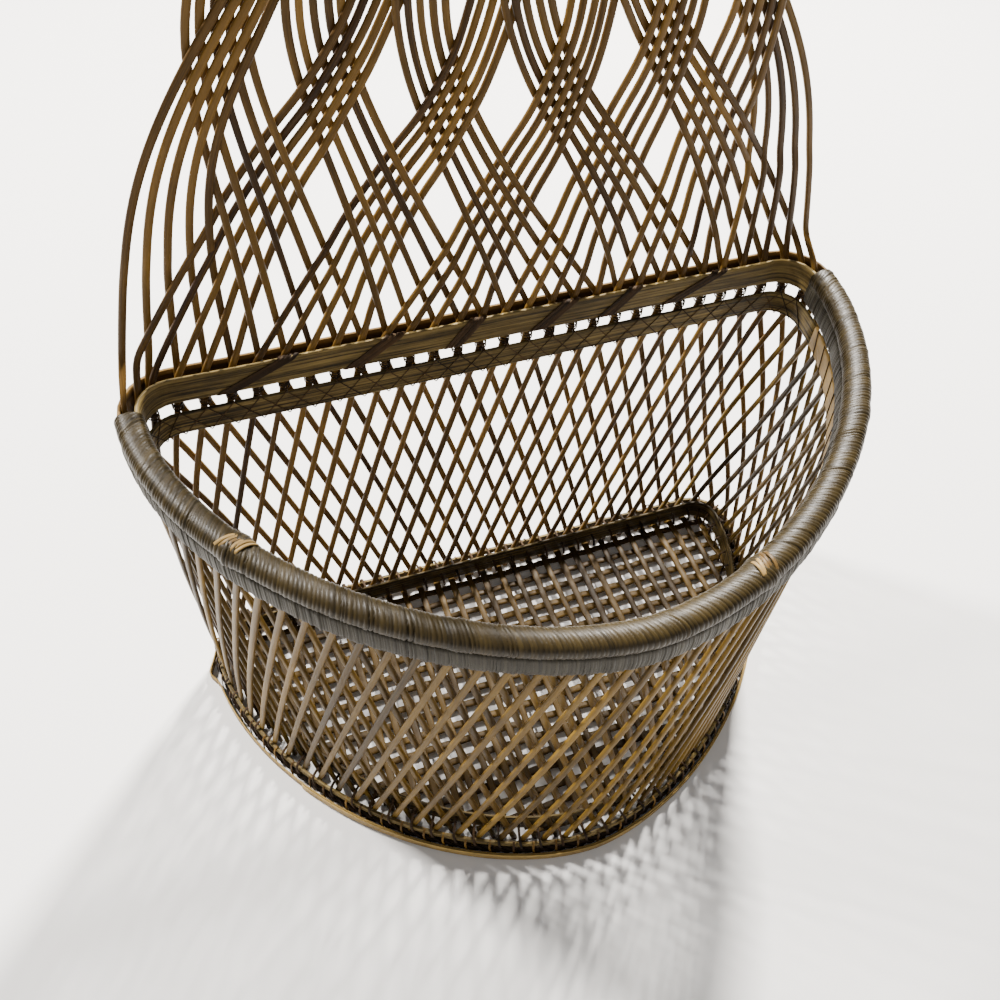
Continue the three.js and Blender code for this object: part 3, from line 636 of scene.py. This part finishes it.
def winding(builder, loop, count, pitch, skew, ridge, spread, lumps):
    """Fine turns round the rim, each with its own width, height and tint."""
    section, around = smooth_loop(loop, count)
    out = np.roll(section, 1, 0) - np.roll(section, -1, 0)
    out = unit(np.c_[-out[:, 1], out[:, 0]])
    coarse = np.linspace(RIM_START, RIM_END, 800)
    length = distance_along(top_plan.at(coarse, 0, 0))
    places = np.interp(np.arange(0, length[-1], pitch / TURN_STEPS), length, coarse)
    run = np.interp(places, coarse, length)
    widths = rng.normal(pitch, pitch * WIDTH_SPREAD, int(length[-1] / pitch) + 60)
    edges = np.cumsum(widths.clip(pitch * 0.5, None)) - 8 * pitch
    height = rng.normal(0, spread, len(edges))
    groove = np.where(rng.random(len(edges)) < DEEP_SHARE, DEEP_GROOVE, 1.0) * ridge
    tints = rng.normal(0.5, 0.08, len(edges))
    swell = sum(size * np.sin(run / wave + phase) for size, wave, phase in SWELLS)
    for place, size in lumps:
        swell = swell + size * np.exp(-((places - place) / LUMP_REACH) ** 2)
    tilt = np.sin(FULL_TURN * around / around[-1] + 0.6)
    points = np.empty((len(places), count, 3))
    grain = np.empty((len(places), count, 3))
    tint = np.empty((len(places), count))
    for j in range(count):
        s = run + skew * tilt[j]
        n = np.clip(np.searchsorted(edges, s), 1, len(edges) - 1)
        f = np.clip((s - edges[n - 1]) / (edges[n] - edges[n - 1]), 0, 1)
        bump = height[n] - groove[n] * np.abs(2 * f - 1) ** 2.2 + swell * 0.6
        points[:, j] = top_plan.at(
            places, section[j, 0] + out[j, 0] * bump, section[j, 1] + out[j, 1] * bump
        )
        grain[:, j] = np.c_[around[j] + 37.0 * n, f * pitch + 3.1 * n, 0 * s]
        # Each turn is darker toward its edges: painted shade in the grooves between turns
        tint[:, j] = tints[n] - 0.2 * np.abs(2 * f - 1) ** 3
    builder.add(points, grain, tint)


b = Builder()
winding(b, BEAD, count=40, pitch=1.1, skew=2.0, ridge=0.2, spread=0.05, lumps=LUMPS)
b.finish("rim_winding", wrap, "binding", "rim_binding")
b = Builder()
winding(b, SKIRT, count=36, pitch=0.75, skew=0.8, ridge=0.1, spread=0.1, lumps=())
b.finish("rim_skirt", skirt, "binding", "rim_binding")


# Floor mat

MAT_PITCH = 6.7
MAT_INSET = -2.8  # edge of the mat from the middle of the wall
MAT_SHORTEST = 12  # shorter splints are left out
MAT_LAYERS = ((1, 1.75), (0, 3.75))  # axis along which a layer's splints are spaced, and its height
MAT_STEP, MAT_END_GAP, MAT_WAVE = 2.2, 0.4, 0.28
mat_edge = base_plan.at(base_plan.grid, MAT_INSET, 0)


def mat_span(axis, value):
    """Where a line across the floor meets the mat's edge, along the other axis."""
    other = 1 - axis
    here, after = mat_edge[:, axis] - value, np.roll(mat_edge[:, axis], -1) - value
    hit = here * after <= 0
    p, q = mat_edge[hit, other], np.roll(mat_edge[:, other], -1)[hit]
    cross = p + (q - p) * (here[hit] / (here[hit] - after[hit] + 1e-9))
    return cross.min(), cross.max()


b = Builder()
for axis, level in MAT_LAYERS:
    low, high = mat_edge[:, axis].min(), mat_edge[:, axis].max()
    count = int((high - low) / MAT_PITCH)
    for n in range(count + 1):
        value = low + (high - low) * (n + 0.5) / (count + 1) + rng.normal() * 0.25
        s0, s1 = mat_span(axis, value)
        if s1 - s0 < MAT_SHORTEST:
            continue
        t = np.linspace(s0 + MAT_END_GAP, s1 - MAT_END_GAP, max(int((s1 - s0) / MAT_STEP), 6))
        wave = MAT_WAVE * np.cos(t / MAT_PITCH * math.pi + n * math.pi)
        path = np.empty((len(t), 3))
        path[:, axis] = value + wobble(len(t), amount=0.2, waves=2)
        path[:, 1 - axis] = t
        path[:, 2] = level + wave
        b.sweep(path, (0, 0, 1), rounded(1.3, rng.uniform(2.3, 3.0), 3.2, 10), strand_tint(0.45, 0.15))
b.finish("floor_splints", mat_cane_painted_shade, "pale_cane", "base_mat")


# Lashings and thread

def strand(builder, points, facings, width, thick, tint, spacing=0.6, soften=3):
    p, f = resample(np.asarray(points, float), np.asarray(facings, float), spacing, soften)
    builder.sweep(p, f, rounded(thick, width, 2.6, 8), tint)


# Lashings that cross the face of the band: x at its lower and upper edge
LASHINGS = ((-82, -64), (-44.6, -31.8), (-13.4, -5.8), (14.4, 24.5), (37.5, 46.4), (60.4, 76.4))
LASHING_STRANDS = (-2.1, -0.7, 0.7, 2.1)
LASHING_FACE = -STRIP_OUT - 0.22
LASHING_FACINGS = (
    (0, -0.3, -1), (0, -0.7, -0.7), (0, -1, 0), (0, -1, 0),
    (0, -0.7, 0.7), (0, 0, 1), (0, 0.7, 0.7), (0, 1, 0),
)
b = Builder()
for x0, x1 in LASHINGS:
    for shift in LASHING_STRANDS:
        a, c = x0 + shift, x1 + shift + rng.normal() * 0.3
        points = [
            (a - 1.2, -STRIP_IN + 0.6, BAND_Z - 0.4), (a - 0.6, LASHING_FACE + 0.2, BAND_Z - 0.3),
            (a, LASHING_FACE, BAND_Z + 0.6), (c - 0.8, LASHING_FACE, BAND_TOP - 0.5),
            (c, LASHING_FACE + 0.25, BAND_TOP + 0.2), (c + 0.7, -STRIP_IN, BAND_TOP + 0.3),
            (c + 1.2, -STRIP_IN + 0.7, BAND_TOP - 0.6), (c + 2.4, -STRIP_IN + 0.7, BAND_TOP - 3),
        ]
        tint = float(rng.uniform(0.2, 0.8))
        strand(b, points, LASHING_FACINGS, width=1.2, thick=0.35, tint=tint, soften=2)
b.finish("band_lashings", thread, "binding")

# Tucked ends of the rim's strand, over its two largest lumps
TUCKS = ((66.4, 6), (47.6, 5))  # places and strands
TUCK_STEPS, TUCK_SPACING = 9, 0.15
TUCK_HALF_DEPTH, TUCK_HALF_HEIGHT, TUCK_Z = 4.3, 3.75, 137.2  # the arc that they lie on
b = Builder()
for place, count in TUCKS:
    for n in range(count):
        turn = np.linspace(-0.8, 0.6, TUCK_STEPS) + rng.normal() * 0.15
        slant = rng.uniform(0.05, 0.2) * np.linspace(-1, 1, TUCK_STEPS)
        along = place + (n - count / 2) * TUCK_SPACING + slant
        lift = 0.5 * np.sin(np.linspace(0.15, math.pi - 0.15, TUCK_STEPS))
        outward = (TUCK_HALF_DEPTH + lift) * np.sin(turn)
        path = top_plan.at(along, outward, TUCK_Z + (TUCK_HALF_HEIGHT + lift) * np.cos(turn))
        facing = top_plan.facing(along) * np.sin(turn)[:, None] + np.outer(np.cos(turn), (0, 0, 1.0))
        tint = float(rng.uniform(0.1, 0.7))
        strand(b, path, facing, width=1.0, thick=0.4, tint=tint, spacing=0.5, soften=2)
b.finish("rim_knots", knot_cane, "binding")

# Thread crossed over the lower strip, and wound round each crossing of the splints
LACING_FACE = -STRIP_OUT - 0.42
LACING_STEPS = 8
BACK_LACING_Z, FRONT_LACING_Z = (126.9, 118.2), (127.2, 118.0)  # upper and lower ends
CROSSING_TURNS, CROSSING_PITCH = 3, 0.75
CROSSING_HALF_WIDTH, CROSSING_HALF_DEPTH = 1.55 / PAIR_WIDTH, 2.35  # in pairs, and in millimetres
b = Builder()
for n in range(BACK_PAIRS):
    v = n + 0.5
    for lean in (-1, 1):
        z = np.linspace(*BACK_LACING_Z, LACING_STEPS)
        places = v + lean * np.linspace(0, 1.0, LACING_STEPS)
        path = np.r_[top_plan.at([v - 0.06 * lean], -1.2, 127.6), top_plan.at(places, LACING_FACE, z)]
        faces = -np.r_[top_plan.facing([v]), top_plan.facing(places)]
        strand(b, path, faces, width=0.3, thick=0.25, tint=float(rng.uniform(0.2, 0.9)))
    for turn in range(CROSSING_TURNS):
        z = KNOT_Z + (turn - 1) * CROSSING_PITCH + rng.normal() * 0.1
        t = np.linspace(0, FULL_TURN, 18, endpoint=False)
        places = v + CROSSING_HALF_WIDTH * np.cos(t)
        path = top_plan.at(places, CROSSING_HALF_DEPTH * np.sin(t), z + 0.35 * np.cos(t + turn))
        centre = top_plan.at([v], 0, z)
        b.sweep(path, path - centre, rounded(0.4, 0.5, 2.2, 6), float(rng.uniform(0.1, 0.8)), True)
for n in range(BACK_PAIRS + 2, PAIRS - 1):
    z = np.linspace(*FRONT_LACING_Z, LACING_STEPS)
    places = n + np.linspace(0, 0.35, LACING_STEPS)
    path = top_plan.at(places, LACING_FACE, z)
    tint = float(rng.uniform(0.2, 0.7))
    strand(b, path, -top_plan.facing(places), width=0.5, thick=0.3, tint=tint)
b.finish("thread_lacing", thread, "binding")

# Lashings over the floor hoop and the outer strip, and a dark twist of thread under them: partly real
# twining, partly painted shade filling the gap between the wall's foot and the foot strip
LASH_OUT = STRIP_MIDDLE + 0.9
LASH_COURSE = (  # pairs along, distance outward and height
    (0, LASH_OUT - 1.0, 4.6), (0.05, LASH_OUT + 0.8, 5.0), (0.15, LASH_OUT + 0.85, 9.4),
    (0.2, LASH_OUT - 0.6, 10.4), (0.25, -3.0, 10.6), (0.3, -6.3, 10.0), (0.4, -6.3, 5.0),
)
TWINES, TWINE_RATE = 3, 4.3  # strands, and their twist in radians for each pair
b = Builder()
for n in range(PAIRS):
    v = n + 0.25 + rng.normal() * 0.06
    along, offset, z = np.array(LASH_COURSE).T
    outward = base_plan.facing([v, v])
    faces = np.r_[[[0, 0, -1.0]], outward, [[0, 0, 1.0], [0, 0, 1.0]], -outward]
    tint = float(rng.uniform(0.1, 0.7))
    strand(b, base_plan.at(v + along, offset, z), faces, width=0.9, thick=0.5, tint=tint)
# Dark twist between wall and foot strip: thread, and also painted shade of that gap
for turn in range(TWINES):
    places = np.arange(0, PAIRS, 0.12)
    phase = places * TWINE_RATE + turn * FULL_TURN / TWINES
    path = base_plan.at(places, 3.1 + 0.7 * np.cos(phase), 2.6 + 1.0 * np.sin(phase))
    b.sweep(path, base_plan.facing(places), rounded(1.3, 1.3, 2.0, 6), 0.25, True)
b.finish("base_lashings_shade_twist", thread, "binding")

# Ties from the outer strip down to the foot: distances outward and heights on either plan
TIE_UPPER = ((2.6, 4.2, 4.5), (8.6, 8.0, 5.4))
TIE_LOWER = ((-0.3, -0.3), (2.6, 1.1))
b = Builder()
for n in range(PAIRS):
    v = n + 0.75 + rng.normal() * 0.1
    points = np.r_[base_plan.at([v] * 3, *TIE_UPPER), foot_plan.at([v] * 2, *TIE_LOWER)]
    faces = np.r_[[[0, 0, 1.0]], base_plan.facing([v] * 4)]
    strand(b, points, faces, width=0.8, thick=0.35, tint=float(rng.uniform(0.2, 0.8)))
b.finish("foot_ties", cane, "cane")


# Head and hanging loop

HEAD_TURNS = 13
HEAD_HALF_WIDTH, HEAD_HALF_DEPTH = 31.6, 3.3
LID_HALF_WIDTH, LID_DEPTH = 29, 5.6
b = Builder()
t = np.linspace(0, FULL_TURN, 48, endpoint=False)
c, s = np.cos(t), np.sin(t)
head_x = HEAD_HALF_WIDTH * np.sign(c) * np.abs(c) ** (2 / 9.0)
head_y = HEAD_HALF_DEPTH * np.sign(s) * np.abs(s) ** (2 / 3.0)
for n in range(HEAD_TURNS):
    path = np.c_[head_x, head_y, HEAD_Z + 0.5 + n + 0.35 * np.sin(t)]
    facing = np.c_[head_x * 0.1, head_y, 0 * t]
    b.sweep(path, facing, rounded(0.6, 1.1, 2.4, 8), float(rng.uniform(0.3, 0.7)), True)
lid = np.linspace(-LID_HALF_WIDTH, LID_HALF_WIDTH, 12)
lid = np.c_[lid, 0 * lid, 0 * lid + HEAD_TOP - 0.35]
b.sweep(lid, (0, 0, 1), rounded(0.6, LID_DEPTH, 5.0, 12), 0.4)
b.finish("head_winding", wrap, "binding", "head_binding")

LOOP_RADIUS, LOOP_Z = 9, 309.3
LOOP_BARE = 6  # steps at each end, in the head and just over it, that have no turns
b = Builder()
turn = np.linspace(0, math.pi, 30)
arch = np.c_[LOOP_RADIUS * np.cos(turn), 0 * turn, LOOP_Z + LOOP_RADIUS * np.sin(turn)]
legs = [[LOOP_RADIUS, 0, 300.0], [LOOP_RADIUS, 0, 305.0]]
arch = np.r_[legs, arch, [[-x, y, z] for x, y, z in reversed(legs)]]
p, f = resample(arch, np.tile(TOWARD_WALL, (len(arch), 1)), spacing=0.8, soften=2)
b.sweep(p, f, rounded(1.7, 1.7, 2, 10), 0.4)
tangent = unit(np.gradient(p, axis=0))
t = np.linspace(0, FULL_TURN, 12, endpoint=False)
for n in range(LOOP_BARE, len(p) - LOOP_BARE):
    across = np.cross(tangent[n], TOWARD_WALL)
    ring = p[n] + np.cos(t)[:, None] * across + np.sin(t)[:, None] * np.array(TOWARD_WALL)
    b.sweep(ring, ring - p[n], rounded(0.5, 0.86, 2.4, 6), float(rng.uniform(0.3, 0.7)), True)
b.finish("loop_winding", wrap, "binding", "hanging_loop")


# Floor, light and camera

floor_mesh = bpy.data.meshes.new("floor")
floor_mesh.from_pydata([(-3, -3, 0), (3, -3, 0), (3, 3, 0), (-3, 3, 0)], [], [(0, 1, 2, 3)])
floor = bpy.data.objects.new("floor", floor_mesh)
bpy.context.scene.collection.objects.link(floor)
sheet = bpy.data.materials.new("pale_floor")
sheet.use_nodes = True
sheet_shader = sheet.node_tree.nodes["Principled BSDF"]
sheet_shader.inputs["Base Color"].default_value = (0.745, 0.728, 0.708, 1)
sheet_shader.inputs["Roughness"].default_value = 0.85
floor_mesh.materials.append(sheet)
floor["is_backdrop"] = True

world = bpy.data.worlds.new("studio")
bpy.context.scene.world = world
world.use_nodes = True
world.node_tree.nodes["Background"].inputs["Color"].default_value = (0.93, 0.95, 1.0, 1)
world.node_tree.nodes["Background"].inputs["Strength"].default_value = 0.3


def lamp(name, place, target, size, power, colour):
    light = bpy.data.lights.new(name, "AREA")
    light.size = size
    light.energy = power
    light.color = colour
    obj = bpy.data.objects.new(name, light)
    obj.location = place
    obj.rotation_euler = (Vector(target) - Vector(place)).to_track_quat("-Z", "Y").to_euler()
    bpy.context.scene.collection.objects.link(obj)


lamp("key_right", (0.52, 0.72, 1.05), (0, 0, 0.08), size=0.13, power=92, colour=(1.0, 0.97, 0.92))
lamp("key_left", (-0.62, 0.7, 1.05), (0, 0, 0.08), size=0.13, power=52, colour=(1.0, 0.97, 0.93))
lamp("fill", (-0.5, -1.1, 0.9), (0, 0, 0.1), size=1.2, power=4, colour=(1.0, 0.97, 0.92))

# The photograph's viewpoint: rows of the rotation are right, down and forward
turn = Vector((2.44611379, -0.40135001, 0.20665917))
rows = Matrix.Rotation(turn.length, 3, turn.normalized())
right, down, forward = rows[0], rows[1], rows[2]
camera_data = bpy.data.cameras.new("camera")
camera_data.sensor_width = 36
camera_data.lens = 34.17
camera_data.clip_start = 0.01
camera = bpy.data.objects.new("camera", camera_data)
bpy.context.scene.collection.objects.link(camera)
eye = Vector((-82.483, -209.943 + REST_Y, 329.599)) * MM
camera.matrix_world = Matrix((
    (right.x, -down.x, -forward.x, eye.x),
    (right.y, -down.y, -forward.y, eye.y),
    (right.z, -down.z, -forward.z, eye.z),
    (0, 0, 0, 1),
))
bpy.context.scene.camera = camera

low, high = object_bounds()
